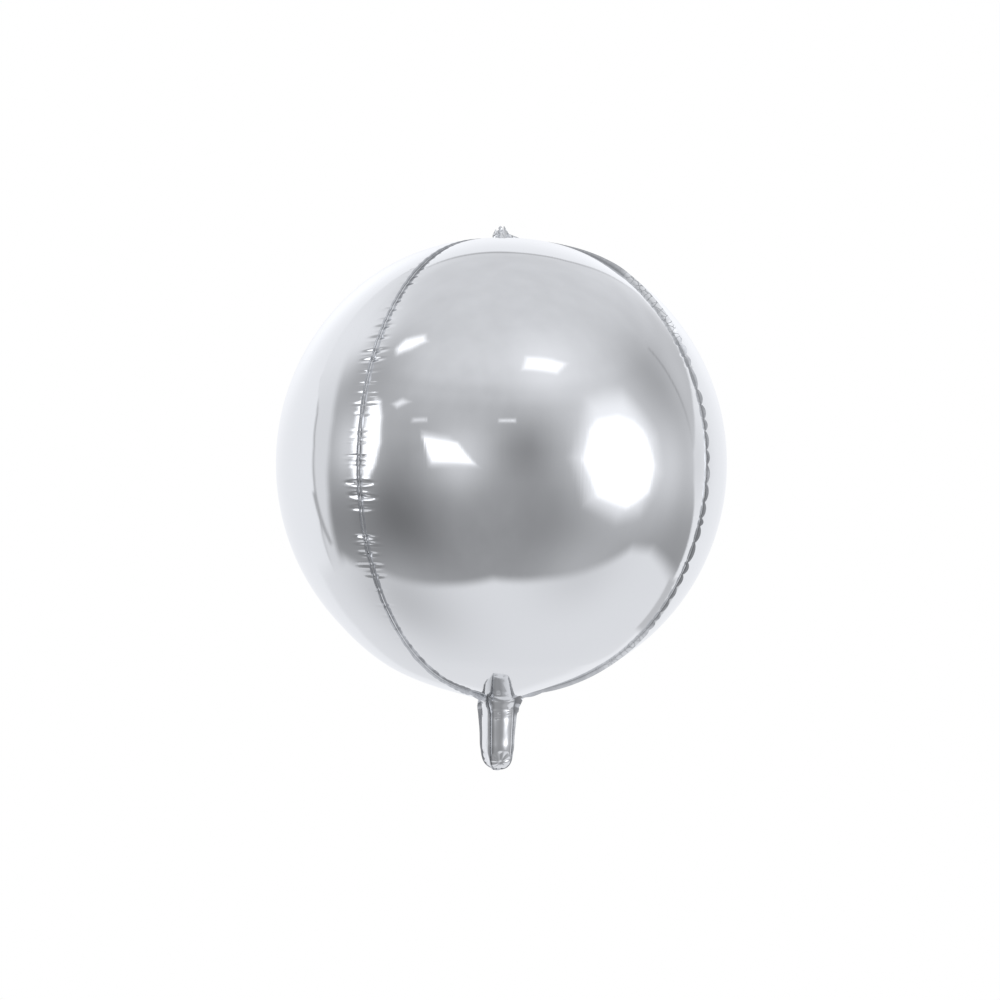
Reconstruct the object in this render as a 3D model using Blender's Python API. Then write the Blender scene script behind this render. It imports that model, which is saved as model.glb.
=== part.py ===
"""A round foil balloon: four foil gores sealed along four seams, a pinched crown and an inflation tail.

Lengths are in metres, +Z is up and the origin is the centre of the globe. The front gore is centred
on -Y. A longitude is an angle about +Z, from the front gore's middle at -Y towards the right at +X.
"""

import math

import bmesh
import bpy
from mathutils import Vector

# The globe, as it stands when it is full of gas
GLOBE_RADIUS = 0.200
GLOBE_HALF_HEIGHT = 0.2035
# The film is about 0.05 mm thick: its solid is a thin stand-in that lies inside the true outer face
FOIL_WALL = 0.0016
# The seams pull the film in a little, so each gore swells between its two seams
GLOBE_SEAM_PULL = 0.0016
TAIL_SEAM_PULL = 0.0007
PULL_SHARPNESS = 6

# A seam: two film margins welded face to face, with a scalloped outer edge
SEAM_THICKNESS = 0.0012
SEAM_EDGE_THICKNESS = 0.0008
SEAM_HEIGHT = 0.0046
SEAM_CROWN_HEIGHT = 0.0012
SEAM_WAIST_HEIGHT = 0.0056
SEAM_TAIL_HEIGHT = 0.0030
SEAM_END_HEIGHT = 0.0006
SCALLOP_SPACING = 0.0150
SCALLOP_DEPTH = 0.0014
SCALLOP_SWAY = 0.0006
STEPS_PER_SCALLOP = 4

# The running gap between pieces that touch
GAP = 0.0003
SEAM_CLEARANCE = SEAM_THICKNESS / 2 + GAP

# The crown, where the four seams run together and stand up
CROWN_HOLE_RADIUS = 0.0040
CROWN_REACH = 0.0092
CROWN_TOP = 0.2162
# Within the first radius the seams lie low on the globe, and from the second on they stand up fully
CROWN_LOW_RADIUS = 0.050
CROWN_FULL_RADIUS = 0.110

# The waist, where the globe turns down into the tail
WAIST_START_RADIUS = 0.0290
CREASE_RADIUS = 0.0182
CREASE_HEIGHT = -0.2105
# Between its two seams a gore runs down to the crease as a cone: (radius, fall for each metre outward)
CONE_FALLS = (
    (CREASE_RADIUS, 0.38),
    (0.060, 0.45),
    (0.112, 0.54),
    (0.130, 0.87),
)
CONE_FADE = 0.012
CONE_SPREAD = 3

# The tail: a short inflated tube with a round end
TAIL_SHOULDER_RADIUS = 0.0166
TAIL_SHOULDER_HEIGHT = -0.2185
TAIL_RADIUS = 0.0158
TAIL_STRAIGHT_TOP = -0.2270
TAIL_STRAIGHT_BOTTOM = -0.2490
TAIL_END_RADIUS = 0.0148
TAIL_END_START = -0.2625
TAIL_BOTTOM = -0.2752
TAIL_HOLE_RADIUS = 0.0024
GATHER_REACH = 0.0056
GATHER_DROP = 0.0008

# How finely the round faces are divided
GORE_COLUMNS = 12
GLOBE_RINGS = 30
WAIST_RINGS = 4
TAIL_COLUMNS = 5
END_RINGS = 5

# (name, longitude of the gore's middle in degrees)
QUARTERS = (
    ("front", 0),
    ("right", 90),
    ("back", 180),
    ("left", 270),
)
# (name, longitude of the seam in degrees)
SEAMS = (
    ("seam_front_right", 45),
    ("seam_back_right", 135),
    ("seam_back_left", 225),
    ("seam_front_left", 315),
)


def clear_scene():
    """Remove every object that the scene starts with."""
    for item in list(bpy.data.objects):
        bpy.data.objects.remove(item, do_unlink=True)


def foil_material(name, colour, roughness):
    """A metallised film material with its colour, roughness and full metallic value."""
    material = bpy.data.materials.new(name)
    material.use_nodes = True
    shader = material.node_tree.nodes["Principled BSDF"]
    shader.inputs["Base Color"].default_value = (*colour, 1.0)
    shader.inputs["Roughness"].default_value = roughness
    shader.inputs["Metallic"].default_value = 1.0
    return material


def at_longitude(longitude, radius, height):
    """The point at a longitude in radians, a radius from the axis and a height."""
    return Vector((radius * math.sin(longitude), -radius * math.cos(longitude), height))


def globe_height(radius):
    """How far above the centre the globe's face lies at a radius from the axis."""
    return GLOBE_HALF_HEIGHT * math.sqrt(1 - (radius / GLOBE_RADIUS) ** 2)


def globe_profile():
    """(radius, height) down the globe's outer face, from the crown's hole to where the waist starts."""
    start = math.acos(CROWN_HOLE_RADIUS / GLOBE_RADIUS)
    end = -math.acos(WAIST_START_RADIUS / GLOBE_RADIUS)
    angles = [start + (end - start) * ring / GLOBE_RINGS for ring in range(GLOBE_RINGS + 1)]
    return [(GLOBE_RADIUS * math.cos(a), GLOBE_HALF_HEIGHT * math.sin(a)) for a in angles]


def waist_profile():
    """(radius, height) down the hollow curve from the globe to the crease, without its first point."""
    top = Vector((WAIST_START_RADIUS, -globe_height(WAIST_START_RADIUS)))
    bottom = Vector((CREASE_RADIUS, CREASE_HEIGHT))
    # The curve leaves along the globe's face and arrives along the tail's side, meeting at this corner
    corner = Vector((CREASE_RADIUS + 0.0012, top.y - 0.0012))
    points = []
    for ring in range(1, WAIST_RINGS + 1):
        share = ring / WAIST_RINGS
        point = top * (1 - share) ** 2 + corner * 2 * share * (1 - share) + bottom * share**2
        points.append(tuple(point))
    return points


def tail_profile():
    """(radius, height) down the tail's outer face, from the crease to the hole at its end."""
    points = [
        (CREASE_RADIUS, CREASE_HEIGHT),
        (TAIL_SHOULDER_RADIUS, TAIL_SHOULDER_HEIGHT),
        (TAIL_RADIUS, TAIL_STRAIGHT_TOP),
        (TAIL_RADIUS, TAIL_STRAIGHT_BOTTOM),
        (TAIL_END_RADIUS, TAIL_END_START),
    ]
    last = math.acos(TAIL_HOLE_RADIUS / TAIL_END_RADIUS)
    drop = (TAIL_END_START - TAIL_BOTTOM) / math.sin(last)
    for ring in range(1, END_RINGS + 1):
        angle = last * ring / END_RINGS
        points.append((TAIL_END_RADIUS * math.cos(angle), TAIL_END_START - drop * math.sin(angle)))
    return points


def seam_pull(across, radius, height):
    """How far the seam draws the film in, at a share across the gore from -1 to 1."""
    if height > CREASE_HEIGHT:
        full = GLOBE_SEAM_PULL * min(1.0, radius / (GLOBE_RADIUS / 4))
    else:
        full = TAIL_SEAM_PULL * min(1.0, radius / TAIL_END_RADIUS)
    return full * abs(across) ** PULL_SHARPNESS


def cone_drop(radius, height):
    """How far the middle of a gore lies under the round globe above the tail."""
    end = CONE_FALLS[-1][0]
    if height > 0 or not CREASE_RADIUS < radius < end:
        return 0.0
    level = CREASE_HEIGHT
    for (inner, first), (outer, last) in zip(CONE_FALLS, CONE_FALLS[1:]):
        reach = min(max(radius - inner, 0.0), outer - inner)
        level += reach * (first + (last - first) * reach / (outer - inner) / 2)
    return (height - level) * min(1.0, (end - radius) / CONE_FADE)


def profile_normals(profile):
    """The outward direction in the (radius, height) plane at each point of a profile that runs down."""
    normals = []
    for index in range(len(profile)):
        before = Vector(profile[max(index - 1, 0)])
        after = Vector(profile[min(index + 1, len(profile) - 1)])
        along = (after - before).normalized()
        normals.append(Vector((-along.y, along.x)))
    return normals


def panel(name, material, middle, profile, columns):
    """One quarter of the skin between two seams, as a grid shaped to the profile and given its wall."""
    rows = len(profile) - 1
    normals = profile_normals(profile)
    sheet = bmesh.new()
    bmesh.ops.create_grid(sheet, x_segments=columns, y_segments=rows, size=1.0)
    for vertex in sheet.verts:
        across = math.sin(vertex.co.x * math.pi / 2)
        row = round((1 - vertex.co.y) / 2 * rows)
        radius, height = profile[row]
        half_width = math.pi / 4 - math.asin(SEAM_CLEARANCE / radius)
        pull = seam_pull(across, radius, height)
        drop = 0.0
        if height > CREASE_HEIGHT:
            drop = cone_drop(radius, height) * (1 - abs(across) ** CONE_SPREAD)
        longitude = math.radians(middle) + across * half_width
        vertex.co = at_longitude(
            longitude,
            radius - normals[row].x * pull,
            height - normals[row].y * pull - drop,
        )
    sheet.normal_update()
    outward = at_longitude(math.radians(middle), 1.0, 0.0)
    if sum(face.normal.dot(outward) for face in sheet.faces) < 0:
        bmesh.ops.reverse_faces(sheet, faces=sheet.faces)
    piece = finished(name, sheet, material)
    wall = piece.modifiers.new("wall", "SOLIDIFY")
    wall.thickness = FOIL_WALL
    wall.offset = -1
    wall.use_even_offset = True
    return piece


def resampled(profile, step):
    """Points a step apart along a profile, each as (radius, height, outward direction, distance run)."""
    spots = []
    run = 0.0
    due = 0.0
    for index in range(len(profile) - 1):
        start, end = Vector(profile[index]), Vector(profile[index + 1])
        length = (end - start).length
        while due <= run + length:
            spots.append((start.lerp(end, (due - run) / length), due))
            due += step
        run += length
    normals = profile_normals([tuple(point) for point, _ in spots])
    return [(point, normal, due) for (point, due), normal in zip(spots, normals)]


def standing_share(radius, height):
    """How far the seam stands up, from 0 beside the crown to 1 over the rest of the globe."""
    if height < 0:
        return 1.0
    share = (radius - CROWN_LOW_RADIUS) / (CROWN_FULL_RADIUS - CROWN_LOW_RADIUS)
    return max(0.0, min(1.0, share))


def seam_height(radius, height, run):
    """How far the seam stands out of the skin: scalloped over the globe, plain at the waist and tail."""
    if height < TAIL_END_START:
        share = min(1.0, (TAIL_END_START - height) / (TAIL_END_START - TAIL_BOTTOM))
        return SEAM_TAIL_HEIGHT + (SEAM_END_HEIGHT - SEAM_TAIL_HEIGHT) * share
    if height < CREASE_HEIGHT:
        return SEAM_TAIL_HEIGHT
    if height < 0 and radius < 2 * WAIST_START_RADIUS:
        return SEAM_WAIST_HEIGHT if radius < WAIST_START_RADIUS else SEAM_HEIGHT
    wave = abs(math.sin(math.pi * run / SCALLOP_SPACING))
    share = standing_share(radius, height)
    plain = SEAM_CROWN_HEIGHT + (SEAM_HEIGHT - SEAM_CROWN_HEIGHT) * share
    return plain + SCALLOP_DEPTH * (wave - 0.5) * share


def seam_sway(radius, height, run):
    """How far the seam's outer edge leans sideways, left and right in turn from scallop to scallop."""
    if height < 0 and radius < 2 * WAIST_START_RADIUS:
        return 0.0
    return SCALLOP_SWAY * math.sin(math.pi * run / SCALLOP_SPACING) * standing_share(radius, height)


def seam(name, material, longitude):
    """One welded seam from the crown down to the tail's end, lofted from four-cornered sections."""
    route = [
        (radius - normal.x * pull, height - normal.y * pull)
        for (radius, height), normal, pull in full_route()
    ]
    body = bmesh.new()
    sections = []
    turn = math.radians(longitude)
    side = at_longitude(turn + math.pi / 2, 1.0, 0.0)
    for point, normal, run in resampled(route, SCALLOP_SPACING / STEPS_PER_SCALLOP):
        foot = point - normal * FOIL_WALL
        edge = point + normal * seam_height(point.x, point.y, run)
        lean = side * seam_sway(point.x, point.y, run)
        foot = at_longitude(turn, foot.x, foot.y)
        edge = at_longitude(turn, edge.x, edge.y) + lean
        corners = (
            foot - side * SEAM_THICKNESS / 2,
            foot + side * SEAM_THICKNESS / 2,
            edge + side * SEAM_EDGE_THICKNESS / 2,
            edge - side * SEAM_EDGE_THICKNESS / 2,
        )
        sections.append([body.verts.new(corner) for corner in corners])
    loft(body, sections)
    return finished(name, body, material)


def full_route():
    """The skin's profile along a seam, with its outward direction and how far the seam pulls it in."""
    profile = [point for point in globe_profile() if point[0] > CROWN_REACH + GAP or point[1] < 0]
    crown_end = (CROWN_REACH + GAP, globe_height(CROWN_REACH + GAP))
    tail = [point for point in tail_profile()[1:] if point[0] > GATHER_REACH + GAP]
    profile = [crown_end, *profile, *waist_profile(), *tail]
    normals = profile_normals(profile)
    return [(point, normal, seam_pull(1.0, *point)) for point, normal in zip(profile, normals)]


def loft(body, sections):
    """Join matching sections with four-sided faces and close both ends."""
    count = len(sections[0])
    for first, second in zip(sections, sections[1:]):
        for corner in range(count):
            following = (corner + 1) % count
            body.faces.new((first[corner], second[corner], second[following], first[following]))
    body.faces.new(sections[0])
    body.faces.new(list(reversed(sections[-1])))
    bmesh.ops.recalc_face_normals(body, faces=body.faces)


def star_section(body, core, reach, half_thickness, height):
    """A level ring of points round a core with four arms that point along the seams."""
    points = []
    for _, longitude in SEAMS:
        arm = math.radians(longitude)
        side = at_longitude(arm + math.pi / 2, half_thickness, 0.0)
        root = math.sqrt(max(core**2 - half_thickness**2, 0.0))
        points.append(at_longitude(arm, root, height) - side)
        points.append(at_longitude(arm, reach, height) - side)
        points.append(at_longitude(arm, reach, height) + side)
        points.append(at_longitude(arm, root, height) + side)
        points.append(at_longitude(arm + math.pi / 4, core, height))
    return [body.verts.new(point) for point in points]


def star(name, material, levels):
    """A body with four arms, lofted through levels of (height, core, reach, half thickness)."""
    body = bmesh.new()
    sections = [
        star_section(body, core, reach, half_thickness, height)
        for height, core, reach, half_thickness in levels
    ]
    loft(body, sections)
    return finished(name, body, material)


def crown(material):
    """The pinched peak: the four seams' ends, welded together and standing up on the axis."""
    skin = globe_height(CROWN_REACH) - GLOBE_SEAM_PULL * CROWN_REACH / (GLOBE_RADIUS / 4)
    core = CROWN_HOLE_RADIUS - GAP
    half = SEAM_THICKNESS / 2
    rise = CROWN_TOP - skin
    # (height, core radius, reach of the arms, half thickness)
    levels = (
        (skin - FOIL_WALL, core, CROWN_REACH, half),
        (skin + 0.10 * rise, core, CROWN_REACH, half),
        (skin + 0.25 * rise, 0.90 * core, 0.72 * CROWN_REACH, half),
        (skin + 0.55 * rise, 0.75 * core, 0.48 * CROWN_REACH, half),
        (skin + 0.85 * rise, 0.50 * core, 0.36 * CROWN_REACH, half),
        (CROWN_TOP, 0.30 * core, 0.15 * CROWN_REACH, half),
    )
    return star("crown_peak", material, levels)


def gather(material):
    """The gathered point under the tail, where the four seams meet again."""
    core = TAIL_HOLE_RADIUS - GAP
    half = SEAM_THICKNESS / 2
    # (height, core radius, reach of the arms, half thickness)
    levels = (
        (TAIL_BOTTOM - GATHER_DROP, 0.8 * core, 0.5 * GATHER_REACH, half),
        (TAIL_BOTTOM, core, 0.8 * GATHER_REACH, half),
        (TAIL_BOTTOM + FOIL_WALL, 0.7 * core, GATHER_REACH, half),
    )
    return star("tail_gather", material, levels)


def finished(name, body, material):
    """Turn a bmesh into a named object with its material, shaded smooth over its round faces."""
    mesh = bpy.data.meshes.new(name)
    body.to_mesh(mesh)
    body.free()
    mesh.materials.append(material)
    mesh.shade_smooth()
    mesh.set_sharp_from_angle(angle=math.radians(35))
    piece = bpy.data.objects.new(name, mesh)
    bpy.context.scene.collection.objects.link(piece)
    return piece


def main():
    """Build every piece of the balloon."""
    clear_scene()
    foil = foil_material("mirror_foil", (0.88, 0.89, 0.90), 0.08)
    weld = foil_material("welded_foil", (0.80, 0.81, 0.83), 0.22)
    globe = globe_profile() + waist_profile()
    tail = tail_profile()
    tail[0] = (tail[0][0], tail[0][1] - GAP)
    for quarter, middle in QUARTERS:
        panel(f"gore_{quarter}", foil, middle, globe, GORE_COLUMNS)
        panel(f"tail_{quarter}", foil, middle, tail, TAIL_COLUMNS)
    for name, longitude in SEAMS:
        seam(name, weld, longitude)
    crown(weld)
    gather(weld)


main()
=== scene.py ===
"""Dresses a round foil balloon: mirror gores, crinkled seams, a pinched crown, a pleated tail.

Lengths are in metres, +Z is up and the origin is the centre of the globe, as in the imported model.
A longitude is an angle about +Z from the front gore's middle at -Y towards the right at +X. A run
is the distance along a seam, measured down the skin from the crown.
"""

import bisect
import logging
import math
import random
from dataclasses import dataclass, field
from enum import Enum
from typing import ClassVar

import bmesh
import bpy
from mathutils import Matrix, Quaternion, Vector, noise


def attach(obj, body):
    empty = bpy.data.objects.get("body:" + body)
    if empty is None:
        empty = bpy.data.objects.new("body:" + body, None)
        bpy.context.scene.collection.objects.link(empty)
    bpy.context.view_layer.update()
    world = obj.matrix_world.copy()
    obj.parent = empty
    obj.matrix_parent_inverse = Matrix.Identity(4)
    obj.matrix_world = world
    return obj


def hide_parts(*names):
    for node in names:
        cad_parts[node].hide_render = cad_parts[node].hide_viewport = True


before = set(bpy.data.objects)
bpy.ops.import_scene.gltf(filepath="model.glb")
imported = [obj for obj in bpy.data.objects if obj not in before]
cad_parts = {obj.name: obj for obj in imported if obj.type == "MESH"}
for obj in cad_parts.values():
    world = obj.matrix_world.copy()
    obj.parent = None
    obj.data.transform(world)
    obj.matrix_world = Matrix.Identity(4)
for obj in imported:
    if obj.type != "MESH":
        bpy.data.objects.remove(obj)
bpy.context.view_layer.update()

LOG = logging.getLogger("foil balloon")
BODY = "root"
# Edges that turn more than this are shaded as creases
CREASE_ANGLE = math.radians(50)
# The attributes that say how lacy the welded film is and how strong the painted shade near its foot
# is, from 0 to 1
LACE = "lace"
FOOT_SHADE = "foot"
# The name of every piece's map
FILM_MAP = "film"

# Pairs of numbers, such as a line's corners as (place, height) from left to right
Pairs = tuple[tuple[float, float], ...]
# A range's low and high end
Range = tuple[float, float]
Triple = tuple[float, float, float]
Shape = bmesh.types.BMesh
Finish = bpy.types.Material
Socket = bpy.types.NodeSocket
# What goes into a node's sockets, by their names or in their order
Inputs = dict[int | str, object] | tuple[object, ...]

# The stretch of a pattern that is as fine along one axis as along the others
EVEN: Triple = (1.0, 1.0, 1.0)


class Side(Enum):
    """A direction out of the globe's axis, by its longitude in degrees."""

    @property
    def word(self) -> str:
        """The side as it stands in the nodes' names."""
        return self.name.lower()

    @property
    def turn(self) -> float:
        """The side's longitude in radians."""
        return math.radians(self.value)


class Quarter(Side):
    """The middles of the four gores."""

    FRONT = 0
    RIGHT = 90
    BACK = 180
    LEFT = 270


class SeamPlace(Side):
    """The four seams."""

    FRONT_RIGHT = 45
    BACK_RIGHT = 135
    BACK_LEFT = 225
    FRONT_LEFT = 315


class Slot(Enum):
    """The record's material slots."""

    MIRROR = "mirror_foil"
    WELD = "welded_foil"

    @property
    def ending(self) -> str:
        """The last word in the names of its pieces."""
        return "foil" if self is Slot.MIRROR else "weld"


def at_longitude(longitude: float, radius: float, height: float) -> Vector:
    """The point at a longitude in radians, a radius from the axis and a height."""
    return Vector((radius * math.sin(longitude), -radius * math.cos(longitude), height))


def smooth_step(value: float) -> float:
    """A smooth rise from 0 to 1 while the value goes from 0 to 1."""
    value = max(0.0, min(1.0, value))
    return value * value * (3 - 2 * value)


def rise_over(span: Range, value: float) -> float:
    """A smooth rise from 0 to 1 while the value goes over a span."""
    return smooth_step((value - span[0]) / (span[1] - span[0]))


def along_line(points: Pairs, place: float, eased: bool = True) -> float:
    """The height at a place of a line through points that run from left to right.

    Args:
        points: The line's corners as (place, height).
        place: Where the height is wanted.
        eased: Whether the line levels out at each corner instead of running straight.

    Returns:
        The height, level beyond both ends.
    """
    if place <= points[0][0]:
        return points[0][1]
    for (left, low), (right, high) in zip(points, points[1:]):
        if place <= right:
            share = (place - left) / (right - left)
            return low + (high - low) * (smooth_step(share) if eased else share)
    return points[-1][1]


@dataclass(frozen=True)
class Station:
    """One place on the skin's profile."""

    radius: float
    height: float
    out_radius: float
    out_height: float
    run: float


@dataclass(frozen=True)
class SkinForm:
    """The shape of the whole skin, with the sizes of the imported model."""

    globe_radius: float = 0.200
    globe_half_height: float = 0.2035
    # How far the seams draw the film in, and within which radius the globe's share of it fades
    globe_seam_pull: float = 0.0009
    tail_seam_pull: float = 0.0007
    pull_sharpness: float = 6
    pull_radius: float = 0.05
    crown_hole_radius: float = 0.0040
    # The pinched crown draws the globe's top down
    crown_dip: float = 0.0036
    crown_dip_reach: float = 0.140
    # Along the seams the globe keeps round almost down to the tail
    corner_start_radius: float = 0.0235
    crease_radius: float = 0.0182
    crease_height: float = -0.2105
    # The corner over the crease is bent this far outside it
    corner_inset: float = 0.0008
    # Between the seams the gores run down to the crease as a cone: (radius, fall for a metre out)
    cone_falls: Pairs = ((0.0182, 0.38), (0.060, 0.45), (0.112, 0.54), (0.130, 0.87))
    # The left gore hangs a little fuller there, and the right one is rounder
    left_cone_falls: Pairs = ((0.0182, 0.28), (0.064, 0.36), (0.091, 0.50), (0.150, 1.19))
    right_cone_falls: Pairs = ((0.0182, 0.38), (0.062, 0.46))
    cone_fade: float = 0.012
    # The tail between its round end and the crease, as (height, radius)
    tail_radii: Pairs = ((-0.2500, 0.0153), (-0.2270, 0.0160), (-0.2185, 0.0166))
    tail_end_radius: float = 0.0146
    tail_end_start: float = -0.2615
    tail_bottom: float = -0.2752
    tail_hole_radius: float = 0.0022
    tail_end_fullness: float = 2.6
    # Below the crease the tail is turned and hangs a little to the left
    tail_turn: float = math.radians(10)
    tail_turn_reach: float = 0.012
    tail_aside: float = 0.0010
    tail_aside_reach: float = 0.009
    tail_drift: float = 0.0006
    # The film meets the welded seam this far from the seam's middle
    weld_clearance: float = 0.0001

    def globe_height(self, radius: float) -> float:
        """How far above the centre the globe's face lies at a radius from the axis."""
        return self.globe_half_height * math.sqrt(1 - (radius / self.globe_radius) ** 2)

    def dip(self, radius: float) -> float:
        """How far the crown draws the globe's top down at a radius from the axis."""
        return self.crown_dip * (1 - smooth_step(radius / self.crown_dip_reach))

    def cone_drop(self, quarter: Quarter, radius: float, height: float) -> float:
        """How far the middle of a gore lies under the round globe above the tail.

        Args:
            quarter: The gore's quarter.
            radius: The place's distance from the axis.
            height: The height of the round globe there.

        Returns:
            The distance down.
        """
        own_falls = {Quarter.LEFT: self.left_cone_falls, Quarter.RIGHT: self.right_cone_falls}
        falls = own_falls.get(quarter, self.cone_falls)
        end = falls[-1][0]
        if height > 0 or radius >= end:
            return 0.0
        level = self.crease_height
        for (inner, first), (outer, last) in zip(falls, falls[1:]):
            reach = min(max(radius - inner, 0.0), outer - inner)
            level += reach * (first + (last - first) * reach / (outer - inner) / 2)
        return (height - level) * smooth_step((end - radius) / self.cone_fade)

    def tail_shift(self, height: float) -> tuple[float, Vector]:
        """How far the tail is turned and moved aside at a height.

        Args:
            height: The place's height.

        Returns:
            The turn in radians and the move.
        """
        below = self.crease_height - height
        if below <= 0:
            return 0.0, Vector()
        aside = self.tail_aside * smooth_step(below / self.tail_aside_reach)
        aside += self.tail_drift * below / (self.crease_height - self.tail_bottom)
        turn = self.tail_turn * smooth_step(below / self.tail_turn_reach)
        return turn, Vector((-aside, 0, 0))

    def globe_profile(self, count: int = 900, corner_count: int = 40) -> list[Vector]:
        """The (radius, height) points down the globe and round the waist to the crease.

        Args:
            count: How many points the globe itself gets.
            corner_count: How many points the corner over the tail gets.

        Returns:
            The points, from the crown's hole down.
        """
        start = math.acos(self.crown_hole_radius / self.globe_radius)
        end = -math.acos(self.corner_start_radius / self.globe_radius)
        points = []
        for step in range(count + 1):
            angle = start + (end - start) * step / count
            radius = self.globe_radius * math.cos(angle)
            point = Vector((radius, self.globe_half_height * math.sin(angle)))
            if point.y > 0:
                point.y -= self.dip(point.x)
            points.append(point)
        top = points[-1]
        bottom = Vector((self.crease_radius, self.crease_height))
        corner = Vector((self.crease_radius + self.corner_inset, top.y - self.corner_inset))
        for step in range(1, corner_count + 1):
            share = step / corner_count
            bend = corner * 2 * share * (1 - share)
            points.append(top * (1 - share) ** 2 + bend + bottom * share**2)
        return points

    def tail_profile(self, count: int = 200) -> list[Vector]:
        """The (radius, height) points down the tail, from the crease to the hole at its end.

        Args:
            count: How many points the straight part and the round end get each.

        Returns:
            The points, from the crease down.
        """
        corners = (
            (self.tail_end_start, self.tail_end_radius),
            *self.tail_radii,
            (self.crease_height, self.crease_radius),
        )
        straight = self.tail_end_start - self.crease_height
        points = []
        for step in range(count):
            height = self.crease_height + straight * step / count
            points.append(Vector((along_line(corners, height), height)))
        power = 2 / self.tail_end_fullness
        last = math.acos((self.tail_hole_radius / self.tail_end_radius) ** (1 / power))
        drop = (self.tail_end_start - self.tail_bottom) / math.sin(last) ** power
        for step in range(count + 1):
            angle = last * step / count
            radius = self.tail_end_radius * math.cos(angle) ** power
            points.append(Vector((radius, self.tail_end_start - drop * math.sin(angle) ** power)))
        return points

    def seam_pull(self, across: float, radius: float, height: float) -> float:
        """How far the seams draw the film in.

        Args:
            across: The share across the gore, from -1 to 1.
            radius: The place's distance from the axis.
            height: The place's height.

        Returns:
            The distance inward.
        """
        if height > self.crease_height:
            full = self.globe_seam_pull * min(1.0, radius / self.pull_radius)
        else:
            full = self.tail_seam_pull * min(1.0, radius / self.tail_end_radius)
        return full * abs(across) ** self.pull_sharpness


def stations(points: list[Vector], count: int, start_run: float = 0.0) -> list[Station]:
    """Evenly spaced places along a profile.

    Args:
        points: The profile's (radius, height) points, from the top down.
        count: How many steps the profile is divided into.
        start_run: The run at the profile's first point.

    Returns:
        The places, one more than the steps.
    """
    runs = [0.0]
    for before, after in zip(points, points[1:]):
        runs.append(runs[-1] + (after - before).length)
    places = []
    for step in range(count + 1):
        due = runs[-1] * step / count
        index = min(max(bisect.bisect_right(runs, due) - 1, 0), len(points) - 2)
        share = (due - runs[index]) / max(runs[index + 1] - runs[index], 1e-12)
        spot = points[index].lerp(points[index + 1], share)
        before = points[max(index - 1, 0)]
        after = points[min(index + 2, len(points) - 1)]
        along = (after - before).normalized()
        places.append(Station(spot.x, spot.y, -along.y, along.x, start_run + due))
    return places


@dataclass(frozen=True)
class Pucker:
    """One short crease that crosses a seam, where the film is gathered."""

    run: float
    depth: float
    half_width: float
    reach: float
    slant: float
    # 0 for a sharp crease, 1 for a soft dimple
    softness: float
    # How narrow it is at its outer end, as a share of its width
    narrowest: float = 0.35
    # Its two low shoulders: where they stand and how wide they are, in half-widths, and how high
    shoulder_place: float = 1.35
    shoulder_width: float = 0.4
    shoulder_height: float = 0.25
    # Nothing of it is left this many half-widths out
    end: float = 2.2

    def dent(self, run: float, distance: float) -> float:
        """How deep the crease is at a place.

        Args:
            run: The place's run.
            distance: The place's distance from the seam.

        Returns:
            The distance inward.
        """
        if distance >= self.reach:
            return 0.0
        fading = 1 - distance / self.reach
        width = self.half_width * (self.narrowest + (1 - self.narrowest) * fading**0.5)
        off = abs(run - self.run - self.slant * distance) / width
        if off >= self.end:
            return 0.0
        sharp = max(0.0, 1 - off) ** 1.5
        soft = math.exp(-((1.5 * off) ** 2))
        beside = (off - self.shoulder_place) / self.shoulder_width
        shoulder = self.shoulder_height * math.exp(-(beside**2))
        valley = sharp + (soft - sharp) * self.softness
        return self.depth * (valley - shoulder) * smooth_step(fading * 1.6)


@dataclass(frozen=True)
class PuckerRow:
    """All the creases of one side of one seam, sorted by run."""

    puckers: tuple[Pucker, ...] = ()
    # How far along the seam a crease can be felt
    window: float = 0.008

    def near(self, run: float) -> list[Pucker]:
        """The creases that can reach a run."""
        return [pucker for pucker in self.puckers if abs(pucker.run - run) < self.window]


@dataclass(frozen=True)
class SeamPlan:
    """Where one seam gathers the film, shared by the seam itself and its two gores."""

    place: SeamPlace
    spots: tuple[float, ...]
    before: PuckerRow
    after: PuckerRow
    # The spacing before the first gather and after the last one
    spacing: float = 0.012

    def beat(self, run: float) -> float:
        """How many gathers lie above a run, with the share of the way to the next.

        Args:
            run: The place's run.

        Returns:
            The count, less one.
        """
        index = bisect.bisect_right(self.spots, run)
        if index == 0:
            return (run - self.spots[0]) / self.spacing
        if index == len(self.spots):
            return index - 1 + (run - self.spots[-1]) / self.spacing
        low, high = self.spots[index - 1], self.spots[index]
        return index - 1 + (run - low) / (high - low)


SeamPlans = dict[SeamPlace, SeamPlan]


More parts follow.
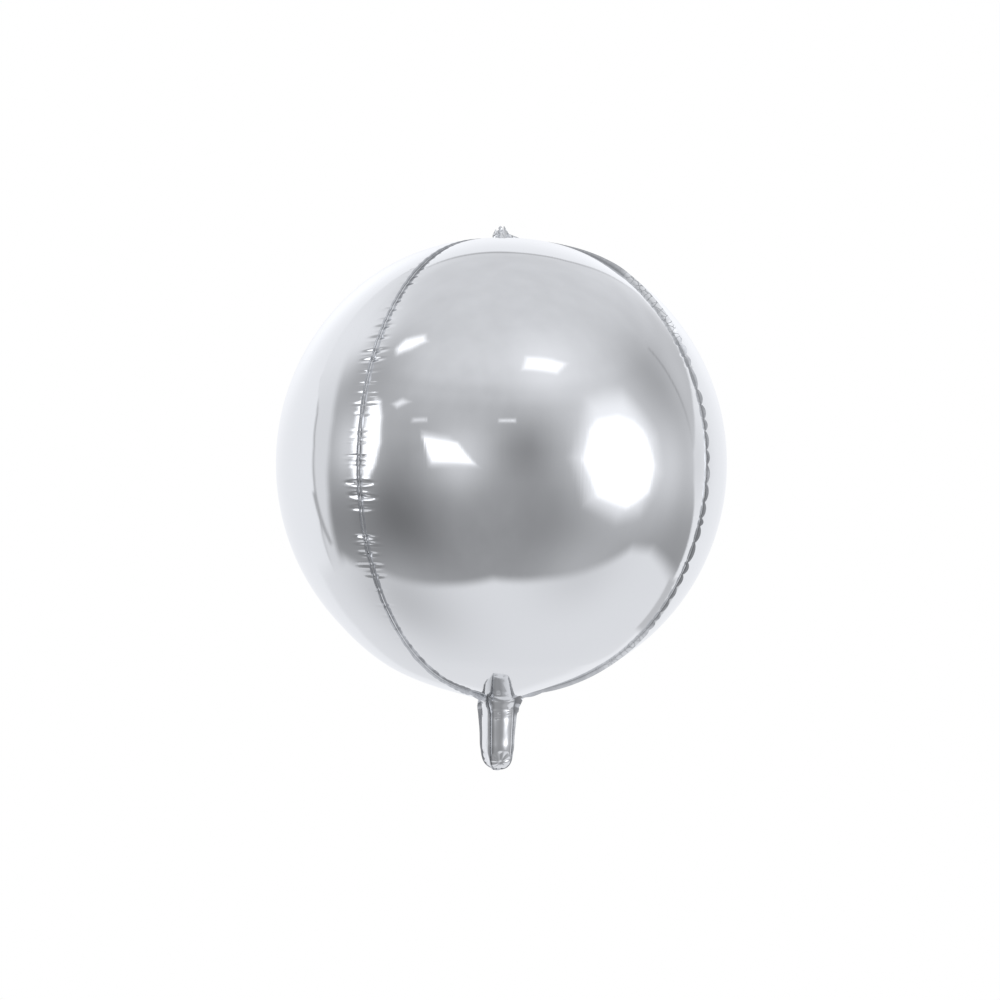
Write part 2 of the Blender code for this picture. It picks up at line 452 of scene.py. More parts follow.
@dataclass(frozen=True)
class Gathering:
    """How the seams gather the film: how far apart, how deep and how far out the creases are."""

    form: SkinForm
    spacing: float = 0.0112
    spread: float = 0.0030
    depth: float = 0.00095
    half_width: float = 0.0024
    reach: float = 0.0145
    # How deep the creases of the front right seam are, as a share
    right_share: float = 0.35
    # How strong the gathers and how fine their creases are, as (height over the origin, share)
    strengths: Pairs = (
        (-0.165, 0.0), (-0.105, 0.45), (-0.08, 1.0), (0.085, 1.0), (0.135, 0.4), (0.180, 0.12),
    )
    finenesses: Pairs = (
        (-0.050, 0.8), (-0.040, 1.0), (-0.016, 1.0), (-0.010, 0.5), (0.070, 0.5), (0.082, 1.0),
    )
    # How much chance changes a gather, each of its sides, and a crease's width, reach and slant
    gather_shares: Range = (0.6, 1.25)
    side_shares: Range = (0.85, 1.15)
    widths: Range = (0.8, 1.15)
    reaches: Range = (0.75, 1.2)
    slants: Range = (-0.10, 0.10)
    # How much chance changes the spacing of the gathers near the crown
    spacings: Range = (0.8, 1.2)
    # How far a crease may lie off its gather
    off_gather: float = 0.0006
    # Creases may be wholly soft under this height, and half soft over it
    soft_height: float = -0.01
    # Where the first gather of a back seam lies, and how near the ends of a seam gathers may come
    first_run: float = 0.012
    end_margin: float = 0.02
    # Heights of the gathers on the two seams in front, in the order of their run
    front_left_heights: tuple[float, ...] = (
        0.1280, 0.1210, 0.1130, 0.1060, 0.0970, 0.0855, 0.0785, 0.0698, 0.0601, 0.0527, 0.0441,
        0.0366, 0.0234, 0.0194, 0.0148, 0.0038, -0.0001, -0.0040, -0.0174, -0.0265, -0.0365,
        -0.0579, -0.0633, -0.0717, -0.0810, -0.0900, -0.1015, -0.1140,
    )
    front_right_heights: tuple[float, ...] = (
        0.0807, 0.0622, 0.0490, 0.0376, 0.0281, 0.0129, 0.0005, -0.0154, -0.0306, -0.0436, -0.0501,
        -0.0631, -0.0800, -0.0899, -0.1003,
    )

    def run_at(self, height: float, profile: list[Station]) -> float:
        """The run at which the globe's skin passes a height."""
        return min(profile, key=lambda station: abs(station.height - height)).run

    def plan(self, place: SeamPlace, profile: list[Station]) -> SeamPlan:
        """Lay out the gathers of one seam.

        Args:
            place: Which seam it is.
            profile: The globe's stations.

        Returns:
            The seam's plan.
        """
        draw = random.Random(place.value)
        last = profile[-1].run
        heights = {
            SeamPlace.FRONT_LEFT: self.front_left_heights,
            SeamPlace.FRONT_RIGHT: self.front_right_heights,
        }.get(place, ())
        spots = [self.run_at(height, profile) for height in heights] or [self.first_run]
        while spots[0] > self.end_margin:
            spots.insert(0, spots[0] - draw.uniform(*self.spacings) * self.spacing)
        while spots[-1] < last - self.end_margin:
            spots.append(spots[-1] + self.spacing + draw.uniform(-1, 1) * self.spread)
        most = self.right_share if place is SeamPlace.FRONT_RIGHT else 1.0
        shares = [most * draw.uniform(*self.gather_shares) for _ in spots]
        rows = []
        for _ in range(2):
            row = []
            for spot, share in zip(spots, shares):
                height = min(profile, key=lambda station: abs(station.run - spot)).height
                strength = along_line(self.strengths, height) * share
                strength *= draw.uniform(*self.side_shares)
                fineness = along_line(self.finenesses, height)
                shortened = self.reach * (0.5 + 0.5 * min(1.0, strength))
                row.append(
                    Pucker(
                        run=spot + draw.uniform(-self.off_gather, self.off_gather),
                        depth=self.depth * strength * fineness,
                        half_width=self.half_width * fineness * draw.uniform(*self.widths),
                        reach=shortened * draw.uniform(*self.reaches),
                        slant=draw.uniform(*self.slants),
                        softness=draw.uniform(0.0, 1.0 if height < self.soft_height else 0.5),
                    )
                )
            rows.append(PuckerRow(tuple(row)))
        return SeamPlan(place, tuple(spots), rows[0], rows[1])


@dataclass
class NodeSketch:
    """Short words for adding nodes to one node tree."""

    tree: bpy.types.NodeTree

    def fill(self, node: bpy.types.Node, values: Inputs) -> None:
        """Put constants into a node's sockets, or link other sockets to them.

        Args:
            node: The node.
            values: What goes in. None is passed over.
        """
        pairs = values.items() if isinstance(values, dict) else enumerate(values)
        for key, value in pairs:
            if isinstance(value, Socket):
                self.tree.links.new(value, node.inputs[key])
            elif value is not None:
                node.inputs[key].default_value = value

    def add(self, kind: str, values: Inputs = (), **settings: object) -> bpy.types.Node:
        """Add one node.

        Args:
            kind: The node's type.
            values: What goes into its sockets.
            settings: Its settings.

        Returns:
            The node.
        """
        node = self.tree.nodes.new(kind)
        for name, value in settings.items():
            setattr(node, name, value)
        self.fill(node, values)
        return node

    def math(self, operation: str, *values: object) -> Socket:
        """A maths node with its values, given as its result."""
        return self.add("ShaderNodeMath", values, operation=operation).outputs[0]

    def dot(self, first: object, second: object) -> Socket:
        """The dot product of two vectors."""
        node = self.add("ShaderNodeVectorMath", (first, second), operation="DOT_PRODUCT")
        return node.outputs["Value"]

    def mix(self, share: object, first: object, second: object) -> Socket:
        """The first value where the share is 0, the second where it is 1."""
        return self.add("ShaderNodeMix", (share, None, first, second), data_type="FLOAT").outputs[0]

    def tint(self, share: object, first: object, second: object) -> Socket:
        """The first colour where the share is 0, the second where it is 1.

        Args:
            share: The share.
            first: A colour or the socket that gives it.
            second: Another one.

        Returns:
            The mixed colour.
        """
        values = {"Factor": share}
        for name, colour in (("A", first), ("B", second)):
            values[name] = colour if isinstance(colour, Socket) else (*colour, 1.0)
        return self.add("ShaderNodeMix", values, data_type="RGBA").outputs["Result"]

    def rise(self, value: object, low: float, high: float) -> Socket:
        """A smooth rise from 0 to 1 while the value goes from low to high."""
        values = (value, low, high, 0.0, 1.0)
        return self.add("ShaderNodeMapRange", values, interpolation_type="SMOOTHSTEP").outputs[0]

    def between(self, value: object, low: float, high: float) -> Socket:
        """A value from 0 to 1 spread over low to high."""
        return self.add("ShaderNodeMapRange", (value, 0.0, 1.0, low, high)).outputs[0]

    def noise(self, place: Socket, scale: float, detail: float, stretch: Triple = EVEN) -> Socket:
        """A cloudy pattern.

        Args:
            place: The coordinates that it reads.
            scale: How fine it is.
            detail: How many finer clouds lie over it.
            stretch: How much finer it is along each axis of the place.

        Returns:
            The pattern, from 0 to 1.
        """
        turned = self.add("ShaderNodeMapping", {"Vector": place, "Scale": stretch}).outputs[0]
        values = {"Vector": turned, "Scale": scale, "Detail": detail}
        return self.add("ShaderNodeTexNoise", values).outputs["Fac"]

    def bump(
        self, height: Socket, distance: float, strength: float, below: Socket | None = None
    ) -> Socket:
        """Fine relief over an optional coarser one, given as a normal."""
        values = {"Strength": strength, "Distance": distance, "Height": height, "Normal": below}
        return self.add("ShaderNodeBump", values).outputs[0]


def start_metal(name: str) -> tuple[Finish, NodeSketch, bpy.types.Node]:
    """Start a metallic finish.

    Args:
        name: The finish's name.

    Returns:
        The material, its sketch and its shader.
    """
    material = bpy.data.materials.new(name)
    material.use_nodes = True
    shader = material.node_tree.nodes["Principled BSDF"]
    shader.inputs["Metallic"].default_value = 1.0
    return material, NodeSketch(material.node_tree), shader


@dataclass(frozen=True)
class MirrorFoil:
    """Mirror-bright metallised film, drawn smooth, with faint rolling lines and handling marks."""

    name: str = "mirror foil"
    colour: Triple = (0.885, 0.893, 0.905)
    # The film's darkest shade, as a share of its colour
    shade: float = 0.975
    clear_roughness: float = 0.035
    hazed_roughness: float = 0.085
    # How fine the rolling lines are across the film and along it
    line_stretch: Triple = (260.0, 7.0, 1.0)
    line_depth: float = 0.00004
    line_strength: float = 0.25
    haze_scale: float = 16.0
    # How strong lines and haze together are where the marks start and where they are full
    marks: Range = (0.16, 0.42)
    swell_scale: float = 14.0
    swell_depth: float = 0.0012
    swell_strength: float = 0.10

    def build(self) -> Finish:
        """Make the finish.

        Returns:
            The material.
        """
        material, sketch, shader = start_metal(self.name)
        place = sketch.add("ShaderNodeTexCoord").outputs
        lines = sketch.noise(place["UV"], 1.0, 3.0, self.line_stretch)
        haze = sketch.noise(place["Object"], self.haze_scale, 4.0)
        marks = sketch.rise(sketch.math("MULTIPLY", lines, haze), *self.marks)
        swell = sketch.noise(place["Object"], self.swell_scale, 2.0)
        soft = sketch.bump(swell, self.swell_depth, self.swell_strength)
        dark = tuple(value * self.shade for value in self.colour)
        sketch.fill(shader, {
            "Roughness": sketch.between(marks, self.clear_roughness, self.hazed_roughness),
            "Base Color": sketch.tint(haze, dark, self.colour),
            "Normal": sketch.bump(lines, self.line_depth, self.line_strength, soft),
        })
        return material


@dataclass(frozen=True)
class WeldedFoil:
    """Heat-sealed film: a little duller than the gores, creased into cells where it is lacy, with
    painted shade in the creases, painted highlights in the cells and painted shade at the fin's
    foot.
    """

    name: str = "welded foil"
    colour: Triple = (0.74, 0.75, 0.77)
    shaded_colour: Triple = (0.64, 0.65, 0.67)
    # Painted shade at the fin's foot
    foot_colour: Triple = (0.30, 0.31, 0.32)
    # Painted highlight in the cells of lacy film and painted shade in its creases
    cell_highlight_colour: Triple = (0.93, 0.94, 0.95)
    crease_shade_colour: Triple = (0.30, 0.31, 0.32)
    clear_roughness: float = 0.12
    hazed_roughness: float = 0.26
    crinkle_scale: float = 190.0
    crinkle_depth: float = 0.0004
    crinkle_strength: float = 0.08
    # Between which strengths of the crinkles the film goes from shaded to clear
    crinkle_range: Range = (0.35, 0.65)
    # How many crease cells lie along a metre, and how wide a crease is as a share of a cell
    cells: float = 175.0
    crease_width: float = 0.08
    crease_depth: float = 0.0002
    crease_strength: float = 0.15
    # How far the creases wander, in metres, and how often
    wander: float = 0.0014
    wander_scale: float = 330.0

    def crease_cells(self, sketch: NodeSketch, place: Socket) -> Socket:
        """The lacy film's cells, 0 on a crease and 1 inside a cell.

        Args:
            sketch: The finish's nodes.
            place: The object's coordinates.

        Returns:
            The pattern.
        """
        values = {"Vector": place, "Scale": self.wander_scale}
        drift = sketch.add("ShaderNodeTexNoise", values).outputs["Color"]
        values = (drift, (self.wander,) * 3, place)
        moved = sketch.add("ShaderNodeVectorMath", values, operation="MULTIPLY_ADD").outputs[0]
        values = {"Vector": moved, "Scale": self.cells}
        cells = sketch.add("ShaderNodeTexVoronoi", values, feature="DISTANCE_TO_EDGE")
        return sketch.rise(cells.outputs["Distance"], 0.0, self.crease_width)

    def build(self) -> Finish:
        """Make the finish.

        Returns:
            The material.
        """
        material, sketch, shader = start_metal(self.name)
        place = sketch.add("ShaderNodeTexCoord").outputs["Object"]
        lace = sketch.add("ShaderNodeAttribute", attribute_name=LACE).outputs["Fac"]
        foot = sketch.add("ShaderNodeAttribute", attribute_name=FOOT_SHADE).outputs["Fac"]
        crinkle = sketch.noise(place, self.crinkle_scale, 3.0)
        creases = self.crease_cells(sketch, place)
        clear = sketch.rise(crinkle, *self.crinkle_range)
        plain = sketch.tint(clear, self.shaded_colour, self.colour)
        # Lacy film: painted shade in the creases, painted highlight inside the cells
        lacy = sketch.tint(creases, self.crease_shade_colour, self.cell_highlight_colour)
        above = sketch.tint(lace, plain, lacy)
        coarse = sketch.bump(crinkle, self.crinkle_depth, self.crinkle_strength)
        relief = sketch.math("MULTIPLY", creases, lace)
        # The base colour carries painted shade at the fin's foot over the welded film's own colour
        sketch.fill(shader, {
            "Roughness": sketch.between(crinkle, self.hazed_roughness, self.clear_roughness),
            "Base Color": sketch.tint(foot, above, self.foot_colour),
            "Normal": sketch.bump(relief, self.crease_depth, self.crease_strength, coarse),
        })
        return material


def film_sheet(columns: int, rows: int) -> Shape:
    """A square sheet from -1 to 1, with a map of its width and length.

    Args:
        columns: How many faces lie across it.
        rows: How many faces lie along it.

    Returns:
        The sheet.
    """
    sheet = bmesh.new()
    sheet.loops.layers.uv.new(FILM_MAP)
    bmesh.ops.create_grid(sheet, x_segments=columns, y_segments=rows, size=1.0, calc_uvs=True)
    return sheet


def film_ball(segments: int, rings: int) -> Shape:
    """A ball with a radius of 1 and a map of its own.

    Args:
        segments: How many faces lie round it.
        rings: How many faces lie from its top to its bottom.

    Returns:
        The ball.
    """
    ball = bmesh.new()
    ball.loops.layers.uv.new(FILM_MAP)
    bmesh.ops.create_uvsphere(
        ball, u_segments=segments, v_segments=rings, radius=1.0, calc_uvs=True
    )
    return ball


def thicken(sheet: Shape, wall: float, outward: Vector) -> None:
    """Turn a sheet's faces outward and give it a wall that lies behind them.

    Args:
        sheet: The sheet, shaped.
        wall: The wall's thickness.
        outward: The way that the sheet faces.
    """
    sheet.normal_update()
    if sum(face.normal.dot(outward) for face in sheet.faces) < 0:
        bmesh.ops.reverse_faces(sheet, faces=sheet.faces)
        sheet.normal_update()
    bmesh.ops.solidify(sheet, geom=sheet.faces[:], thickness=wall)


class Film:
    """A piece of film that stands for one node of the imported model."""

    node: str
    slot: ClassVar[Slot] = Slot.WELD

    def shape(self) -> Shape:
        """The piece's shape, which each kind of piece makes in its own way."""
        raise NotImplementedError

    def dress(self, finish: Finish) -> bpy.types.Object:
        """Turn the shape into a finished piece.

        Args:
            finish: The material, which belongs to the piece's slot.

        Returns:
            The piece.
        """
        name = f"{self.node}_{self.slot.ending}"
        body = self.shape()
        mesh = bpy.data.meshes.new(name)
        body.to_mesh(mesh)
        body.free()
        mesh.materials.append(finish)
        mesh.shade_smooth()
        mesh.set_sharp_from_angle(angle=CREASE_ANGLE)
        piece = bpy.data.objects.new(name, mesh)
        bpy.context.scene.collection.objects.link(piece)
        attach(piece, BODY)
        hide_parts(self.node)
        LOG.info("%s: %d faces, stands for %s", name, len(mesh.polygons), self.node)
        return piece


@dataclass
class Panel(Film):
    """A quarter of mirror foil between two seams, bent from a flat sheet."""

    quarter: Quarter
    form: SkinForm
    profile: list[Station]
    columns: int
    wall: float = 0.0004
    slot: ClassVar[Slot] = Slot.MIRROR

    def inward(self, across: float, row: int, distance: float) -> float:
        """How far the film lies inside the plain skin, which each kind of panel knows."""
        raise NotImplementedError

    def drop(self, across: float, place: Station) -> float:
        """How far the film hangs under the plain skin."""
        return 0.0

    def shape(self) -> Shape:
        """Bend the sheet to the skin and give it its wall.

        Returns:
            The panel's shape.
        """
        rows = len(self.profile) - 1
        sheet = film_sheet(self.columns, rows)
        middle = self.quarter.turn
        for vertex in sheet.verts:
            across = math.sin(vertex.co.x * math.pi / 2)
            row = round((1 - vertex.co.y) / 2 * rows)
            place = self.profile[row]
            half = math.pi / 4 - math.asin(self.form.weld_clearance / place.radius)
            depth = self.inward(across, row, (1 - abs(across)) * half * place.radius)
            turn, move = self.form.tail_shift(place.height)
            vertex.co = move + at_longitude(
                middle + across * half + turn,
                place.radius - place.out_radius * depth,
                place.height - place.out_height * depth - self.drop(across, place),
            )
        thicken(sheet, self.wall, at_longitude(middle, 1.0, 0.0))
        return sheet


@dataclass
class Gore(Panel):
    """One mirror-foil gore between two seams, from the crown down to the crease over the tail."""

    columns: int = 56
    # The creases along its two seams
    left: PuckerRow = PuckerRow()
    right: PuckerRow = PuckerRow()
    # Right at the weld the film turns up into the seam
    root_width: float = 0.0009
    root_rise: float = 0.0005
    # Next to the seam the film sinks into a narrow groove
    groove_width: float = 0.0024
    groove_depth: float = 0.0002
    # Within this distance from the axis both fade
    fade_radius: float = 0.06
    # How closely the cone above the tail keeps to the middle of the gore
    cone_spread: float = 3.0

    def __post_init__(self) -> None:
        """Find the creases that can reach each row."""
        runs = [place.run for place in self.profile]
        self.near = [(self.left.near(run), self.right.near(run)) for run in runs]

    @property
    def node(self) -> str:
        """The node that the gore stands for."""
        return f"gore_{self.quarter.word}"

    def inward(self, across: float, row: int, distance: float) -> float:
        """How far the film lies inside the plain globe.

        Args:
            across: The share across the gore, from -1 to 1.
            row: The place's row on the profile.
            distance: The distance from the nearer seam.

        Returns:
            The distance inward.
        """
        place = self.profile[row]
        depth = self.form.seam_pull(across, place.radius, place.height)
        for pucker in self.near[row][0 if across < 0 else 1]:
            depth += pucker.dent(place.run, distance)
        share = min(1.0, place.radius / self.fade_radius)
        if distance < self.groove_width:
            depth += self.groove_depth * share * (1 - distance / self.groove_width) ** 2
        if distance < self.root_width:
            depth -= self.root_rise * share * (1 - distance / self.root_width) ** 2
        return depth

    def drop(self, across: float, place: Station) -> float:
        """How far the cone over the tail hangs under the round globe."""
        middle_drop = self.form.cone_drop(self.quarter, place.radius, place.height)
        return middle_drop * (1 - abs(across) ** self.cone_spread)


@dataclass(frozen=True)
class SeamHabit:
    """How one seam lies: which way it leans, how lacy it is and how much it waves."""

    # (height over the origin, lean to the side of growing longitude in degrees)
    leans: Pairs
    lacy: float
    sway: float
    # How far the fin narrows between two of its waves, as a share of its height
    nip: float
    # How many gathers of the film make one wave of the seam
    gathers: float
    # How strong the painted shade at the fin's foot is, from 0 to 1
    foot_shade_strength: float
    # The fin's share of its full height on the globe, as (height over the origin, share)
    talls: Pairs
    # Its share of the full height on the tail
    tail_share: float = 1.0


@dataclass
class Seam(Film):
    """One welded seam, a thin fin that crinkles and sways from one side to the other."""

    plan: SeamPlan
    form: SkinForm
    globe: list[Station]
    tail: list[Station]
    habit: SeamHabit
    columns: int = 9
    thickness: float = 0.00028
    foot_depth: float = 0.0012
    full_height: float = 0.0046
    crown_height: float = 0.0015
    # The crinkles' depth and size, and the same of the finer ones where the film is lacy
    crinkle: float = 0.00022
    crinkle_size: float = 0.0050
    lace_depth: float = 0.00018
    lace_size: tuple[float, float] = (0.0045, 0.0036)
    # How lacy the film is, as (height over the origin, share)
    lacy_heights: Pairs = (
        (-0.178, 0.0), (-0.168, 0.5), (-0.147, 0.5), (-0.138, 0.0),
        (0.098, 0.0), (0.110, 0.9), (0.156, 0.9), (0.166, 0.0),
    )
    # Where the edge of a lacy seam waves too, as (height over the origin, share)
    waving_heights: Pairs = ((-0.148, 0.0), (-0.126, 1.0), (0.100, 1.0), (0.112, 0.0))
    # How round the waves are, how much their height changes along the seam, and how fast
    wave_roundness: float = 0.6
    swell: float = 0.16
    swell_pace: float = 0.6
    # The share of the fin's height over which the painted shade at its foot fades, and how strong
    # that painted shade is, as (height over the origin, share)
    foot_share: float = 0.7
    foot_shade_heights: Pairs = ((-0.150, 0.5), (-0.125, 1.0))
    # Beside the crown the fin stands low within the first radius and in full past the second
    crown_radii: Range = (0.060, 0.135)
    # Over the tail it loses its own share of the height between these radii
    waist_radii: Range = (0.045, 0.085)
    # The sway's mean and how much chance changes it, how fast, and how it grows up the fin
    sway_mean: float = 0.75
    sway_chance: float = 0.5
    sway_pace: float = 0.7
    sway_growth: float = 1.2
    # How much of the sway and of the coarser crinkles is gone where the film is lacy
    lace_stillness: float = 0.4
    lace_smoothness: float = 0.6
    # How much of its sway is left on the tail and at the waist, and where the waist's calm ends
    tail_calm: float = 0.3
    waist_calm: float = 0.15
    calm_radii: Range = (0.03, 0.10)
    # The web in the corner over the tail, as (run past the crease, height, way out in degrees)
    web: tuple[Triple, ...] = (
        (-0.030, 0.0050, -77), (-0.019, 0.0077, -80), (-0.008, 0.0083, -75),
        (-0.004, 0.0072, -50), (0.000, 0.0060, -35), (0.007, 0.0049, -5), (0.012, 0.0044, 0),
    )
    # The fin's height down the tail, as (height over the origin, height of the fin)
    tail_heights: Pairs = (
        (-0.2745, 0.0003), (-0.2716, 0.0005), (-0.2662, 0.0012), (-0.2608, 0.0021),
        (-0.2554, 0.0027), (-0.2500, 0.0027), (-0.2391, 0.0030), (-0.2337, 0.0034),
        (-0.2229, 0.0044),
    )

    @property
    def node(self) -> str:
        """The node that the seam stands for."""
        return f"seam_{self.plan.place.word}"

    @property
    def seed(self) -> float:
        """The number that makes this seam's chance differ from the others'."""
        return float(self.plan.place.value)

    def standing(self, place: Station) -> float:
        """How far the seam stands up, from 0 beside the crown to 1 over the rest of the globe."""
        return 1.0 if place.height < 0 else rise_over(self.crown_radii, place.radius)

    def lace(self, place: Station) -> float:
        """How lacy the seam is: most on the upper shoulder of the globe, some on the lower one."""
        return self.habit.lacy * along_line(self.lacy_heights, place.height)

    def past_crease(self, place: Station) -> float:
        """How far a place lies down the skin from the crease over the tail."""
        return place.run - self.globe[-1].run

    def fin_height(self, place: Station) -> float:
        """How far the fin stands out of the skin.

        Args:
            place: The place on the skin.

        Returns:
            The height of the fin's free edge.
        """
        past = self.past_crease(place)
        if past > self.web[-1][0]:
            return self.habit.tail_share * along_line(self.tail_heights, place.height, eased=False)
        if past > self.web[0][0]:
            return along_line(tuple((run, tall) for run, tall, _ in self.web), past, eased=False)
        plain = self.crown_height + (self.full_height - self.crown_height) * self.standing(place)
        above_web = 1.0 if place.height > 0 else rise_over(self.waist_radii, place.radius)
        share = 1 + (along_line(self.habit.talls, place.height) - 1) * above_web
        beat = self.plan.beat(place.run) / self.habit.gathers
        wave = abs(math.sin(math.pi * beat)) ** self.wave_roundness
        swell = self.swell * noise.noise(Vector((beat * self.swell_pace, 1.7, self.seed)))
        waving = max(along_line(self.waving_heights, place.height), 1 - self.habit.lacy)
        return plain * share * (1 - waving * (self.habit.nip * (1 - wave) - swell))

    def way_out(self, place: Station) -> tuple[float, float]:
        """The (radius, height) direction in which the fin stands out.

        Args:
            place: The place on the skin.

        Returns:
            The direction.
        """
        past = self.past_crease(place)
        if not self.web[0][0] < past < self.web[-1][0]:
            return place.out_radius, place.out_height
        ways = tuple((run, way) for run, _, way in self.web)
        turn = math.radians(along_line(ways, past, eased=False))
        return math.cos(turn), math.sin(turn)

    def lean(self, place: Station) -> float:
        """How far the fin leans to the side of growing longitude, in radians."""
        return math.radians(along_line(self.habit.leans, place.height))

    def wobble(self, place: Station, rise: float, share: float) -> float:
        """How far the fin sways and crinkles to one side.

        Args:
            place: The place on the skin.
            rise: The distance out of the skin.
            share: The same as a share of the fin's height.

        Returns:
            The distance to the side.
        """
        if share <= 0:
            return 0.0
        calm = 1.0 if place.height > self.form.crease_height else self.tail_calm
        if place.height < 0 and place.radius < self.calm_radii[1]:
            moving = rise_over(self.calm_radii, place.radius)
            calm *= self.waist_calm + (1 - self.waist_calm) * moving
        beat = self.plan.beat(place.run) / self.habit.gathers
        chance = noise.noise(Vector((beat * self.sway_pace, 3.1, 0.0)))
        swing = math.sin(math.pi * beat) * (self.sway_mean + self.sway_chance * chance)
        lace = self.lace(place)
        sway = self.habit.sway * swing * share**self.sway_growth * calm
        offset = sway * self.standing(place) * (1 - self.lace_stillness * lace)
        spot = Vector((place.run / self.crinkle_size, rise / self.crinkle_size, self.seed))
        coarse = self.crinkle * calm * (1 - self.lace_smoothness * lace)
        offset += coarse * noise.noise(spot) * share
        along, out = self.lace_size
        spot = Vector((place.run / along, rise / out, self.seed + 7.3))
        return offset + self.lace_depth * lace * noise.noise(spot) * min(1.0, share * 2)

    def shape(self) -> Shape:
        """Shape the seam from a strip of film.

        Returns:
            The seam's shape.
        """
        route = self.globe + self.tail[1:]
        rows = len(route) - 1
        sheet = film_sheet(self.columns, rows)
        turn = self.plan.place.turn
        side = at_longitude(turn + math.pi / 2, 1.0, 0.0)
        lace = sheet.verts.layers.float.new(LACE)
        foot = sheet.verts.layers.float.new(FOOT_SHADE)
        for vertex in sheet.verts:
            place = route[round((1 - vertex.co.y) / 2 * rows)]
            share = (vertex.co.x + 1) / 2
            pull = self.form.seam_pull(1.0, place.radius, place.height)
            tall = self.fin_height(place)
            length = -self.foot_depth + (tall + self.foot_depth) * share
            lean = self.lean(place) if length > 0 else 0.0
            rise = length * math.cos(lean)
            above = max(0.0, length / tall)
            aside = self.wobble(place, length, above) + length * math.sin(lean)
            vertex[lace] = self.lace(place)
            # Painted shade: the fin is darkened towards its foot, less where it is lacy
            dark = self.habit.foot_shade_strength * (1 - 0.5 * self.lace(place))
            dark *= along_line(self.foot_shade_heights, place.height)
            vertex[foot] = dark * (1 - smooth_step(above / self.foot_share))
            out_radius, out_height = self.way_out(place)
            more_turn, move = self.form.tail_shift(place.height)
            spot = at_longitude(
                turn,
                max(place.radius - place.out_radius * pull + out_radius * rise, 0.0004),
                place.height - place.out_height * pull + out_height * rise,
            ) + side * (aside - self.thickness / 2)
            vertex.co = Matrix.Rotation(more_turn, 3, "Z") @ spot + move
        thicken(sheet, self.thickness, side)
        return sheet


@dataclass(frozen=True)
class Blade:
    """One seam's end at the crown: a small upright scrap of film with its own outline."""

    place: SeamPlace
    lean: float
    twist: float
    # (distance from the axis, height over the skin)
    outline: Pairs


